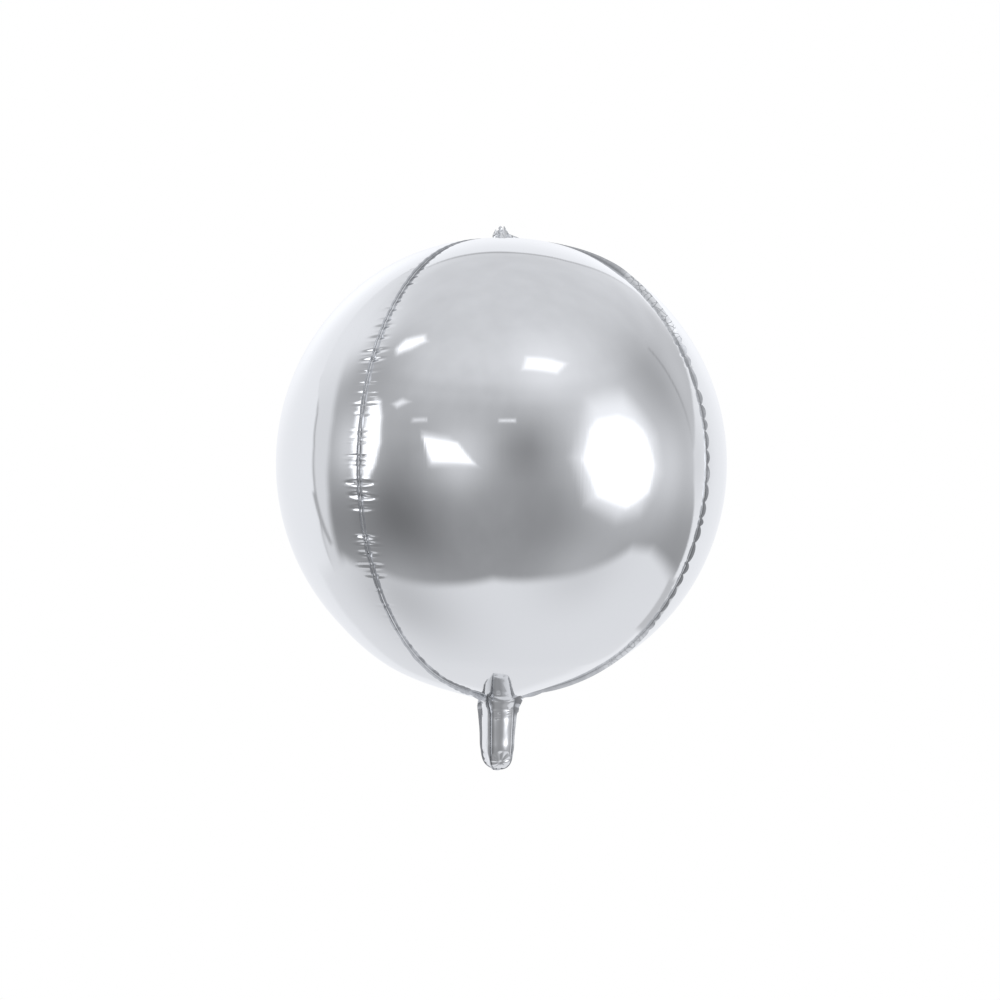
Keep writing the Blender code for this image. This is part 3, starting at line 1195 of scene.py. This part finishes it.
@dataclass
class CrownPeak(Film):
    """The pinched peak: the ends of four seams, welded together and crumpled."""

    form: SkinForm
    blades: tuple[Blade, ...] = (
        Blade(SeamPlace.FRONT_RIGHT, 0.04, 0.4, (
            (0, 0.0148), (0.0010, 0.0142), (0.0024, 0.0115), (0.0042, 0.0089), (0.0066, 0.0069),
            (0.0102, 0.0056), (0.0150, 0.0040), (0.0220, 0.0012),
        )),
        Blade(SeamPlace.BACK_RIGHT, -0.15, -0.5, (
            (0, 0.0102), (0.0022, 0.0095), (0.0044, 0.0080), (0.0080, 0.0060), (0.0140, 0.0036),
            (0.0220, 0.0012),
        )),
        Blade(SeamPlace.BACK_LEFT, 0.10, 0.6, (
            (0, 0.0124), (0.0036, 0.0114), (0.0060, 0.0105), (0.0078, 0.0126), (0.0090, 0.0131),
            (0.0104, 0.0104), (0.0116, 0.0062), (0.0150, 0.0040), (0.0220, 0.0012),
        )),
        Blade(SeamPlace.FRONT_LEFT, -0.16, -0.7, (
            (0, 0.0098), (0.0028, 0.0092), (0.0056, 0.0079), (0.0080, 0.0062), (0.0110, 0.0046),
            (0.0150, 0.0032), (0.0220, 0.0012),
        )),
    )
    blade_columns: int = 30
    blade_rows: int = 18
    blade_thickness: float = 0.0004
    foot_depth: float = 0.0012
    # How far a twisted blade swings to the side, and over which distance
    twist_swing: float = 0.0008
    twist_length: float = 0.0018
    # The bud's top leans this far aside, and its middle lies this far over the skin
    bud_lean: tuple[float, float] = (-0.0022, 0.0004)
    bud_rise: float = 0.0018
    bud_radius: float = 0.0056
    bud_half_height: float = 0.0091
    bud_depth: float = 0.0030
    # How much narrower its top is, how deep its pleats are and how rough it is, as shares
    bud_narrowing: float = 0.62
    bud_pleats: int = 5
    pleat_depth: float = 0.20
    bud_roughness: float = 0.35
    crumple: float = 0.0009
    crumple_size: float = 0.0046
    # The curled scrap on top: how far left and towards the front, how high over the skin, how big
    curl_place: tuple[float, float] = (-0.0030, -0.0003)
    curl_rise: float = 0.0127
    curl_radius: float = 0.0017
    curl_roughness: float = 0.4
    # How much of the lacy seams' creasing the peak has, with its painted crease shade and cell
    # highlights
    lace: float = 0.10
    node: ClassVar[str] = "crown_peak"

    def skin_height(self, radius: float) -> float:
        """The height of the gathered skin at a radius from the axis."""
        pull = self.form.seam_pull(1.0, radius, self.form.globe_half_height)
        return self.form.globe_height(radius) - self.form.dip(radius) - pull

    def blade(self, blade: Blade) -> Shape:
        """Shape one blade.

        Args:
            blade: The blade's outline and lean.

        Returns:
            The blade's shape.
        """
        sheet = film_sheet(self.blade_columns, self.blade_rows)
        turn = blade.place.turn
        side = at_longitude(turn + math.pi / 2, 1.0, 0.0)
        reach = blade.outline[-1][0]
        for vertex in sheet.verts:
            radius = reach * (vertex.co.x + 1) / 2
            share = (vertex.co.y + 1) / 2
            tall = along_line(blade.outline, radius, eased=False)
            rise = -self.foot_depth + (tall + self.foot_depth) * share
            spot = Vector((radius, rise, 0.002 * blade.place.value)) / self.crumple_size
            aside = self.crumple * noise.noise(spot) * share * 2
            aside += math.tan(blade.lean) * max(rise, 0.0)
            swing = self.twist_swing * math.sin(radius / self.twist_length)
            aside += blade.twist * swing * share
            height = self.skin_height(radius) + rise
            vertex.co = at_longitude(turn, radius, height) + side * aside
        thicken(sheet, self.blade_thickness, side)
        return sheet

    def bud(self) -> Shape:
        """Shape the crumpled middle, which closes the gores' upper ends.

        Returns:
            The middle's shape.
        """
        body = film_ball(48, 32)
        base = self.skin_height(0.0) + self.bud_rise
        for vertex in body.verts:
            angle = math.atan2(vertex.co.y, vertex.co.x)
            level = vertex.co.z
            upper = max(0.0, level)
            folds = math.sin(self.bud_pleats * angle + 2.0 * level) * (0.4 + 0.6 * upper)
            chance = noise.noise(vertex.co * 2.4 + Vector((5.0, 2.0, 1.0)))
            spread = self.bud_radius * (1 - self.bud_narrowing * upper)
            spread *= (1 + self.pleat_depth * folds) * (1 + self.bud_roughness * chance)
            rise = self.bud_half_height if level > 0 else self.bud_depth
            top = Vector((vertex.co.x * spread, vertex.co.y * spread, base + level * rise))
            vertex.co = Vector((*self.bud_lean, 0)) * upper + top
        return body

    def curl(self) -> Shape:
        """Shape the small curled scrap of film on top.

        Returns:
            The scrap's shape.
        """
        body = film_ball(24, 16)
        centre = Vector((*self.curl_place, self.skin_height(0.0) + self.curl_rise))
        for vertex in body.verts:
            chance = noise.noise(vertex.co * 1.8 + Vector((1.0, 4.0, 2.0)))
            rough = 1 + self.curl_roughness * chance
            vertex.co = centre + vertex.co * self.curl_radius * rough
        return body

    def shape(self) -> Shape:
        """Join the middle, the curl and the four blades into one shape.

        Returns:
            The peak's shape.
        """
        whole = self.bud()
        add_shape(whole, self.curl())
        for blade in self.blades:
            add_shape(whole, self.blade(blade))
        lace = whole.verts.layers.float.new(LACE)
        for vertex in whole.verts:
            vertex[lace] = self.lace
        return whole


def add_shape(whole: Shape, part: Shape) -> None:
    """Add one shape to another and free it.

    Args:
        whole: The shape that grows.
        part: The shape that is added.
    """
    carrier = bpy.data.meshes.new("carrier")
    part.to_mesh(carrier)
    part.free()
    whole.from_mesh(carrier)
    bpy.data.meshes.remove(carrier)


@dataclass
class TailPanel(Panel):
    """One quarter of the inflation tail, creased near its top and pleated at its end."""

    columns: int = 40
    # (height, where across from -1 to 1, depth)
    wrinkles: tuple[Triple, ...] = (
        (-0.2190, 0.42, 0.00034), (-0.2203, -0.46, 0.00062), (-0.2210, 0.41, 0.00034),
        (-0.2221, -0.45, 0.00070), (-0.2232, 0.43, 0.00030), (-0.2243, -0.46, 0.00060),
        (-0.2265, -0.45, 0.00048),
    )
    wrinkle_half_width: float = 0.0010
    wrinkle_reach: float = 0.22
    wrinkle_slope: float = 0.0006
    # The fan of pleats: where it spreads from, how far it reaches and how deep it sinks
    fan_height: float = -0.2672
    fan_side: float = -0.0014
    fan_reach: float = 0.0120
    fan_depth: float = 0.0030
    fan_pleats: int = 9
    pleat_depth: float = 0.00060
    ripple: float = 0.00014
    # How the pleats are turned about the fan's middle, and over which share of the fan they deepen
    pleat_turn: float = 0.6
    pleat_span: float = 1.3
    # How often the ripple changes across the panel and along a metre of it
    ripple_pace: tuple[float, float] = (2.6, 90)
    # How flat the panel on the left is, from 0 for round to 1, and how soon under the crease
    left_flatness: float = 0.5
    flat_reach: float = 0.006
    # Towards the hole in the end all of this fades within this radius
    end_radius: float = 0.006

    @property
    def node(self) -> str:
        """The node that the panel stands for."""
        return f"tail_{self.quarter.word}"

    def flat(self, across: float, place: Station) -> float:
        """How far the left panel is flattened.

        Args:
            across: The share across the panel, from -1 to 1.
            place: The place on the profile.

        Returns:
            The distance inward.
        """
        below = smooth_step((self.form.crease_height - place.height) / self.flat_reach)
        bulge = math.cos(across * math.pi / 4) - math.cos(math.pi / 4)
        return below * self.left_flatness * place.radius * bulge

    def fan(self, across: float, place: Station) -> float:
        """How deep the fan of pleats is at a place.

        Args:
            across: The share across the panel, from -1 to 1.
            place: The place on the profile.

        Returns:
            The distance inward.
        """
        sideways = across * math.pi / 4 * place.radius - self.fan_side
        below = place.height - self.fan_height
        distance = math.hypot(sideways, below)
        if distance >= self.fan_reach:
            return 0.0
        near = 1 - distance / self.fan_reach
        turn = math.atan2(sideways, below)
        fold = 1 - abs(math.sin(self.fan_pleats * turn / 2 + self.pleat_turn))
        deepened = math.sin(math.pi * min(1.0, near * self.pleat_span))
        return self.fan_depth * near + self.pleat_depth * fold * deepened

    def inward(self, across: float, row: int, distance: float) -> float:
        """How far the film lies inside the plain tube.

        Args:
            across: The share across the panel, from -1 to 1.
            row: The place's row on the profile.
            distance: The distance from the nearer seam, which isn't needed here.

        Returns:
            The distance inward.
        """
        place = self.profile[row]
        depth = self.form.seam_pull(across, place.radius, place.height)
        if self.quarter is Quarter.LEFT:
            depth += self.flat(across, place)
        for height, centre, deep in self.wrinkles:
            off = abs(place.height - height - self.wrinkle_slope * across)
            off /= self.wrinkle_half_width
            beside = abs(across - centre) / self.wrinkle_reach
            if off < 1 and beside < 1:
                depth += deep * (1 - off) ** 1.3 * (1 - beside**2)
        depth += self.fan(across, place)
        often_across, often_along = self.ripple_pace
        seed = float(self.quarter.value)
        spot = Vector((across * often_across, place.height * often_along, seed))
        depth += self.ripple * noise.noise(spot) * (1 - across**4)
        return depth * min(1.0, place.radius / self.end_radius)


@dataclass
class TailGather(Film):
    """The gathered point at the tail's lower end, a small pleated button of film."""

    form: SkinForm
    radius: float = 0.0040
    half_height: float = 0.0016
    # How far its middle lies over the tail's lower end
    rise: float = 0.0008
    pleats: int = 9
    pleat_depth: float = 0.16
    roughness: float = 0.2
    node: ClassVar[str] = "tail_gather"

    def shape(self) -> Shape:
        """Shape the button from a ball.

        Returns:
            The button's shape.
        """
        body = film_ball(64, 24)
        move = self.form.tail_shift(self.form.tail_bottom)[1]
        centre = move + Vector((0, 0, self.form.tail_bottom + self.rise))
        for vertex in body.verts:
            angle = math.atan2(vertex.co.y, vertex.co.x)
            pleat = 1 + self.pleat_depth * abs(math.sin(self.pleats * angle / 2))
            spread = self.radius * pleat * (1 + self.roughness * noise.noise(vertex.co * 3))
            vertex.co = centre + vertex.co * Vector((spread, spread, self.half_height))
        return body


@dataclass(frozen=True)
class Viewpoint:
    """Where the camera stands and how it is held."""

    azimuth: float = -11.7
    elevation: float = -0.7
    distance: float = 1.1
    lens: float = 43.9
    roll: float = 0.55
    # What the camera aims at, as seen from the globe's centre: to the right and up
    aim_right: float = -0.0009
    aim_up: float = -0.0316

    @property
    def towards(self) -> Vector:
        """The level direction from the globe to the camera."""
        return at_longitude(math.radians(self.azimuth), 1.0, 0.0)

    @property
    def rightward(self) -> Vector:
        """The level direction to the right of the picture."""
        return at_longitude(math.radians(self.azimuth) + math.pi / 2, 1.0, 0.0)

    def place_camera(self) -> bpy.types.Object:
        """Make the camera and set it as the scene's.

        Returns:
            The camera.
        """
        data = bpy.data.cameras.new("camera")
        data.lens = self.lens
        data.sensor_width = 36.0
        data.clip_start = 0.01
        data.clip_end = 100.0
        camera = bpy.data.objects.new("camera", data)
        bpy.context.scene.collection.objects.link(camera)
        rise = math.radians(self.elevation)
        back = self.towards * math.cos(rise) + Vector((0, 0, math.sin(rise)))
        aim = self.rightward * self.aim_right + Vector((0, 0, self.aim_up))
        camera.location = back * self.distance
        camera.rotation_mode = "QUATERNION"
        look = (aim - camera.location).to_track_quat("-Z", "Y")
        camera.rotation_quaternion = look @ Quaternion((0, 0, 1), math.radians(self.roll))
        bpy.context.scene.camera = camera
        return camera


@dataclass(frozen=True)
class Patch:
    """A lamp, window or sheet of paper of the studio, by its corners as the globe sees them.

    Its corners follow each other round it, each as (azimuth from the camera to the right,
    elevation) in degrees, and it bulges at every one. The edge says how soft its outline is, in
    degrees.
    """

    corners: Pairs
    tone: float
    edge: float


@dataclass(frozen=True)
class Glow:
    """A soft change of tone round a direction, with its spread in degrees and its strength."""

    azimuth: float
    elevation: float
    spread: float
    tone: float
    share: float


@dataclass
class Studio:
    """The plain pale studio: a white sweep of paper, soft lamps and a dim room in front."""

    viewpoint: Viewpoint
    # The room's tone from straight down to straight up, as (elevation, tone)
    room: Pairs = (
        (-90, 0.40), (-52, 0.34), (-34, 0.34), (-15, 0.36), (-6, 0.38), (4, 0.41), (14, 0.46),
        (24, 0.51), (32, 0.58), (40, 0.68), (50, 0.71), (64, 0.69), (90, 0.69),
    )
    # What stands round the globe, from the farthest to the nearest: dim and bright spots of the
    # room, then the papers beside and under the balloon with dark lines round them, last the lamps
    layers: tuple[Glow | Patch, ...] = (
        Glow(92, 26, 15, 0.34, 0.85),
        Glow(-82, 32, 15, 0.38, 0.85),
        Glow(-58, -27, 17, 0.12, 0.86),
        Glow(-92, -22, 9, 0.22, 0.7),
        Glow(-77, -36, 9, 0.12, 0.6),
        Glow(34, -26, 17, 0.18, 0.65),
        Glow(13, 6, 10, 0.2, 0.7),
        Glow(106, -20, 12, 0.32, 0.6),
        Glow(-20, 3, 10, 0.85, 0.65),
        Glow(27, 46, 11, 1.0, 0.6),
        Glow(54, 20, 9, 0.9, 0.4),
        Glow(60, 4, 19, 0.95, 0.72),
        Glow(90, 0, 10, 0.74, 0.8),
        Glow(-77, 6, 9, 0.85, 0.65),
        Patch((
            (-120, -36), (-105, -30), (-101, -24), (-94, -10), (-91.5, 4), (-92.5, 14),
            (-96.5, 22), (-107, 36), (-125, 48), (-160, 55), (-150, -40),
        ), 0.75, 3.0),
        Glow(-121, 34, 12, 0.88, 0.9),
        Glow(-106, 42, 8, 0.87, 0.85),
        Glow(118, 24, 9, 0.66, 0.6),
        Patch(((105.6, 37), (107.0, 37), (112.0, 3), (110.4, 3)), 0.38, 0.8),
        Patch((
            (180, 54.4), (168, 52.8), (158.6, 49.4), (154, 44.5), (151, 36), (148, 27), (146, 0),
            (-126, 0), (-126, 20), (-140, 39.5), (-150, 47), (-158, 50.7),
        ), 0.45, 0.8),
        Patch((
            (-132, 30), (130, 27), (121, 17), (112, 4), (113, -9), (122, -20), (140, -33),
            (180, -50), (-120, -33), (-105.5, -16), (-103.8, -5), (-103.8, 5), (-106.5, 14),
            (-112.5, 22),
        ), 0.45, 0.8),
        Patch((
            (-132, 30), (132, 27), (122, 17.2), (111, 4), (112.5, -9), (121, -20), (140, -33),
            (180, -50), (-120, -33), (-107, -16), (-105.5, -5), (-105.5, 5), (-108, 14),
            (-114, 22),
        ), 0.89, 1.0),
        Patch((
            (180, 52.8), (168, 51), (160, 48), (156.2, 43.5), (153.2, 35.5), (150.3, 27),
            (148.5, 0), (-120, 0), (-118, 24), (-132, 37.7), (-158, 48.9),
        ), 0.89, 1.0),
        Patch((
            (-131, -24), (-100, -30), (-80, -42.0), (-44, -55.6), (-12, -55.2), (5, -54.6),
            (32, -53.4), (48, -48.4), (76, -31), (93, -28), (130, -25),
        ), 0.8, 3.2),
        Glow(114, 2, 9, 0.7, 0.7),
        Patch(((-107.5, -8), (-104.2, -8), (-103.6, -24), (-106.4, -24)), 0.42, 1.0),
        Patch(((125.5, -26.9), (134.5, -23.2), (153.4, -26), (141.9, -34.5)), 0.56, 1.0),
        Glow(-85, -53, 17, 0.5, 0.75),
        Glow(52, -45, 14, 0.58, 0.55),
        Glow(-158, 24, 12, 1.2, 0.75),
        Glow(160, 24, 12, 1.2, 0.6),
        Glow(180, 0, 16, 0.95, 0.6),
        Patch((
            (36, 3), (47, 26), (67, 27), (80, 10), (82, -2), (73, -16), (61.5, -20), (44, -15),
        ), 1.0, 6.0),
        Patch((
            (40.2, 2), (44.3, 13.9), (49, 18.0), (60.5, 18.9), (68.5, 16.2), (73.7, 11.8),
            (78.6, 0.4), (76.3, -9.1), (65.3, -15.7), (48.6, -12.6),
        ), 1.6, 3.0),
        Patch((
            (-75, 22), (-72.5, 24), (-69, 23.5), (-65, 18), (-63, 8), (-65.5, 0), (-70, -5),
            (-73.5, -5.5),
        ), 1.5, 2.2),
        Patch(((-39.2, 13.4), (-25, 11.6), (-12, -1.2), (-34.5, -1.0)), 0.8, 1.8),
        Patch(((-38.4, 11.1), (-21.1, 9.0), (-13.4, 0.2), (-33.7, 1.0)), 1.5, 1.6),
        Patch((
            (-76.9, 44.9), (-75.7, 49.3), (-64.3, 54.4), (-59.7, 52.7), (-66.3, 47.6),
            (-73.4, 43.6),
        ), 1.4, 2.0),
        Patch(((16.6, 49.7), (29.8, 48), (39.2, 45), (32.5, 41.6), (13.7, 44.6)), 1.4, 2.0),
        Patch(((-59, 24.1), (-54.7, 26.4), (-51, 25.7), (-56.3, 23)), 1.0, 1.5),
        Patch(((-45.5, 18.8), (-38.5, 19.4), (-38, 18.3), (-45.5, 17.7)), 0.9, 1.2),
        Patch(((-1.2, 20.1), (6.7, 20.2), (6.7, 19.1), (-1.2, 19.2)), 1.0, 0.9),
    )
    # How strongly the dim room is streaked, and how fine the streaks are
    streak_share: float = 0.08
    streak_scale: float = 7.0
    streak_stretch: Triple = (1.0, 1.0, 0.45)
    tint: Triple = (0.985, 0.998, 1.035)
    floor_height: float = -1.0
    floor_size: float = 12.0
    # How dark the painted shadow on the floor is right under the balloon, and how far from there
    # the floor is white
    floor_tone: float = 0.90
    floor_shadow_reach: float = 1.1

    def direction(self, azimuth: float, elevation: float) -> Vector:
        """The direction at an azimuth and an elevation.

        Args:
            azimuth: Degrees from the camera to the right.
            elevation: Degrees over the level.

        Returns:
            The direction.
        """
        level = math.cos(math.radians(elevation))
        ahead = self.viewpoint.towards * math.cos(math.radians(azimuth)) * level
        beside = self.viewpoint.rightward * math.sin(math.radians(azimuth)) * level
        return ahead + beside + Vector((0, 0, math.sin(math.radians(elevation))))

    def patch_share(self, sketch: NodeSketch, ray: Socket, patch: Patch) -> Socket:
        """How much of a ray meets a patch, from 0 to 1.

        Args:
            sketch: The world's nodes.
            ray: The ray's direction.
            patch: The patch.

        Returns:
            The share.
        """
        corners = [self.direction(*corner) for corner in patch.corners]
        middle = sum(corners, Vector()).normalized()
        inside = None
        for first, second in zip(corners, corners[1:] + corners[:1]):
            edge = first.cross(second).normalized()
            if edge.dot(middle) < 0:
                edge.negate()
            off = sketch.dot(ray, edge)
            inside = off if inside is None else sketch.math("MINIMUM", inside, off)
        soft = math.sin(math.radians(patch.edge))
        return sketch.rise(inside, -soft, soft)

    def glow_share(self, sketch: NodeSketch, ray: Socket, glow: Glow) -> Socket:
        """How much of a ray meets a glow.

        Args:
            sketch: The world's nodes.
            ray: The ray's direction.
            glow: The glow.

        Returns:
            The share, from 0 to the glow's own.
        """
        centre = self.direction(glow.azimuth, glow.elevation)
        off = sketch.math("SUBTRACT", sketch.dot(ray, centre), 1.0)
        scaled = sketch.math("MULTIPLY", off, 1 / math.radians(glow.spread) ** 2)
        return sketch.math("MULTIPLY", sketch.math("EXPONENT", scaled), glow.share)

    def room_tone(self, sketch: NodeSketch, ray: Socket) -> Socket:
        """The tone of the plain room, faintly streaked, where a ray meets it.

        Args:
            sketch: The world's nodes.
            ray: The ray's direction.

        Returns:
            The tone.
        """
        rise = sketch.math("ARCSINE", sketch.dot(ray, (0.0, 0.0, 1.0)))
        level = sketch.math("MULTIPLY_ADD", rise, 1 / math.pi, 0.5)
        ramp = sketch.add("ShaderNodeValToRGB", (level,))
        ramp.color_ramp.interpolation = "EASE"
        elements = ramp.color_ramp.elements
        for index, (elevation, tone) in enumerate(self.room):
            spot = (elevation + 90) / 180
            # A new ramp has two elements already
            element = elements[index] if index < 2 else elements.new(spot)
            element.position = spot
            element.color = (tone, tone, tone, 1.0)
        streaks = sketch.noise(ray, self.streak_scale, 4.0, self.streak_stretch)
        amount = sketch.between(streaks, 1 - self.streak_share, 1 + self.streak_share)
        return sketch.math("MULTIPLY", ramp.outputs["Color"], amount)

    def build_world(self) -> None:
        """Make the studio that the foil mirrors, white where the camera looks past the balloon."""
        world = bpy.data.worlds.new("studio")
        bpy.context.scene.world = world
        world.use_nodes = True
        world.node_tree.nodes.clear()
        sketch = NodeSketch(world.node_tree)
        ray = sketch.add("ShaderNodeTexCoord").outputs["Generated"]
        tone = self.room_tone(sketch, ray)
        for layer in self.layers:
            found = self.glow_share if isinstance(layer, Glow) else self.patch_share
            tone = sketch.mix(found(sketch, ray, layer), tone, layer.tone)
        tinted = {0: self.tint, "Scale": tone}
        colour = sketch.add("ShaderNodeVectorMath", tinted, operation="SCALE").outputs[0]
        mirrored = sketch.add("ShaderNodeBackground", (colour,)).outputs[0]
        seen = sketch.add("ShaderNodeBackground", ((1.0, 1.0, 1.0, 1.0),)).outputs[0]
        straight = sketch.add("ShaderNodeLightPath").outputs["Is Camera Ray"]
        choice = sketch.add("ShaderNodeMixShader", (straight, mirrored, seen))
        sketch.add("ShaderNodeOutputWorld", (choice.outputs[0],))

    def build_floor(self) -> bpy.types.Object:
        """Lay the pale floor, with a painted shadow under the balloon.

        Returns:
            The floor.
        """
        sheet = bmesh.new()
        bmesh.ops.create_grid(sheet, x_segments=1, y_segments=1, size=self.floor_size / 2)
        bmesh.ops.translate(sheet, verts=sheet.verts, vec=(0, 0, self.floor_height))
        mesh = bpy.data.meshes.new("floor")
        sheet.to_mesh(mesh)
        sheet.free()
        material = bpy.data.materials.new("floor paper")
        material.use_nodes = True
        material.node_tree.nodes.clear()
        sketch = NodeSketch(material.node_tree)
        place = sketch.add("ShaderNodeTexCoord").outputs["Object"]
        middle = (0.0, 0.0, self.floor_height)
        apart = sketch.add("ShaderNodeVectorMath", (place, middle), operation="DISTANCE")
        # Painted shadow: the floor's glow is greyer near the point under the balloon and white
        # farther out
        far = sketch.rise(apart.outputs["Value"], 0.0, self.floor_shadow_reach)
        glow = sketch.add("ShaderNodeEmission", (sketch.mix(far, self.floor_tone, 1.0),))
        sketch.add("ShaderNodeOutputMaterial", (glow.outputs[0],))
        mesh.materials.append(material)
        floor = bpy.data.objects.new("floor", mesh)
        bpy.context.scene.collection.objects.link(floor)
        floor.visible_glossy = False
        floor.visible_diffuse = False
        return floor

    def build(self) -> None:
        """Make the world, the floor and the camera."""
        bpy.context.scene.view_settings.view_transform = "Standard"
        self.build_world()
        self.build_floor()
        self.viewpoint.place_camera()


@dataclass
class Balloon:
    """The whole balloon: its form, its seams' plans and its pieces."""

    form: SkinForm = field(default_factory=SkinForm)
    globe_rows: int = 560
    tail_rows: int = 110
    seam_rows: int = 840
    seam_tail_rows: int = 110

    def plans(self, profile: list[Station]) -> SeamPlans:
        """Lay out the gathers of all four seams."""
        gathering = Gathering(self.form)
        return {place: gathering.plan(place, profile) for place in SeamPlace}

    def dress_gores(self, profile: list[Station], plans: SeamPlans, foil: Finish) -> None:
        """Make the four gores between their seams.

        Args:
            profile: The globe's stations.
            plans: The plans of the seams.
            foil: The gores' finish.
        """
        for quarter in Quarter:
            left = plans[SeamPlace((quarter.value - 45) % 360)].after
            right = plans[SeamPlace((quarter.value + 45) % 360)].before
            Gore(quarter, self.form, profile, left=left, right=right).dress(foil)

    def dress_seams(self, plans: SeamPlans, weld: Finish) -> None:
        """Make the four seams.

        Args:
            plans: The plans of the seams.
            weld: The seams' finish.
        """
        route = stations(self.form.globe_profile(), self.seam_rows)
        tail = stations(self.form.tail_profile(), self.seam_tail_rows, route[-1].run)
        habits = {
            SeamPlace.FRONT_RIGHT: SeamHabit(
                leans=(
                    (-0.2240, 44), (-0.2200, 36), (-0.1900, 36), (-0.1700, 42), (0.157, 42),
                    (0.167, 13),
                ),
                lacy=1.0, sway=0.0001, nip=0.80, gathers=1.0, foot_shade_strength=0.7,
                talls=(
                    (-0.170, 0.9), (-0.145, 0.9), (-0.120, 0.68), (0.075, 0.68), (0.100, 1.0),
                ),
                tail_share=0.78,
            ),
            SeamPlace.BACK_RIGHT: SeamHabit(
                leans=((0.0, -4),), lacy=0.5, sway=0.0012, nip=0.5, gathers=1.3, foot_shade_strength=0.6,
                talls=((0.0, 0.95),),
            ),
            SeamPlace.BACK_LEFT: SeamHabit(
                leans=((0.0, 5),), lacy=0.6, sway=0.0013, nip=0.6, gathers=1.4, foot_shade_strength=0.6,
                talls=((0.0, 0.95),),
            ),
            SeamPlace.FRONT_LEFT: SeamHabit(
                leans=((0.0, 11),), lacy=0.0, sway=0.0003, nip=0.20, gathers=1.0, foot_shade_strength=1.0,
                talls=((0.0, 0.66),), tail_share=0.64,
            ),
        }
        for place, habit in habits.items():
            Seam(plans[place], self.form, route, tail, habit).dress(weld)

    def build(self) -> None:
        """Make every piece of the balloon."""
        foil = MirrorFoil().build()
        weld = WeldedFoil().build()
        profile = stations(self.form.globe_profile(), self.globe_rows)
        plans = self.plans(profile)
        self.dress_gores(profile, plans, foil)
        self.dress_seams(plans, weld)
        crown_foil = WeldedFoil(
            "crown foil", colour=(0.91, 0.92, 0.93), shaded_colour=(0.80, 0.81, 0.83)
        ).build()
        CrownPeak(self.form).dress(crown_foil)
        tail = stations(self.form.tail_profile(), self.tail_rows, profile[-1].run)
        for quarter in Quarter:
            TailPanel(quarter, self.form, tail).dress(foil)
        TailGather(self.form).dress(weld)


def main() -> None:
    """Set up the studio and build the balloon."""
    logging.basicConfig(level=logging.INFO, format="%(name)s: %(message)s")
    Studio(Viewpoint()).build()
    Balloon().build()


if __name__ == "__main__":
    main()
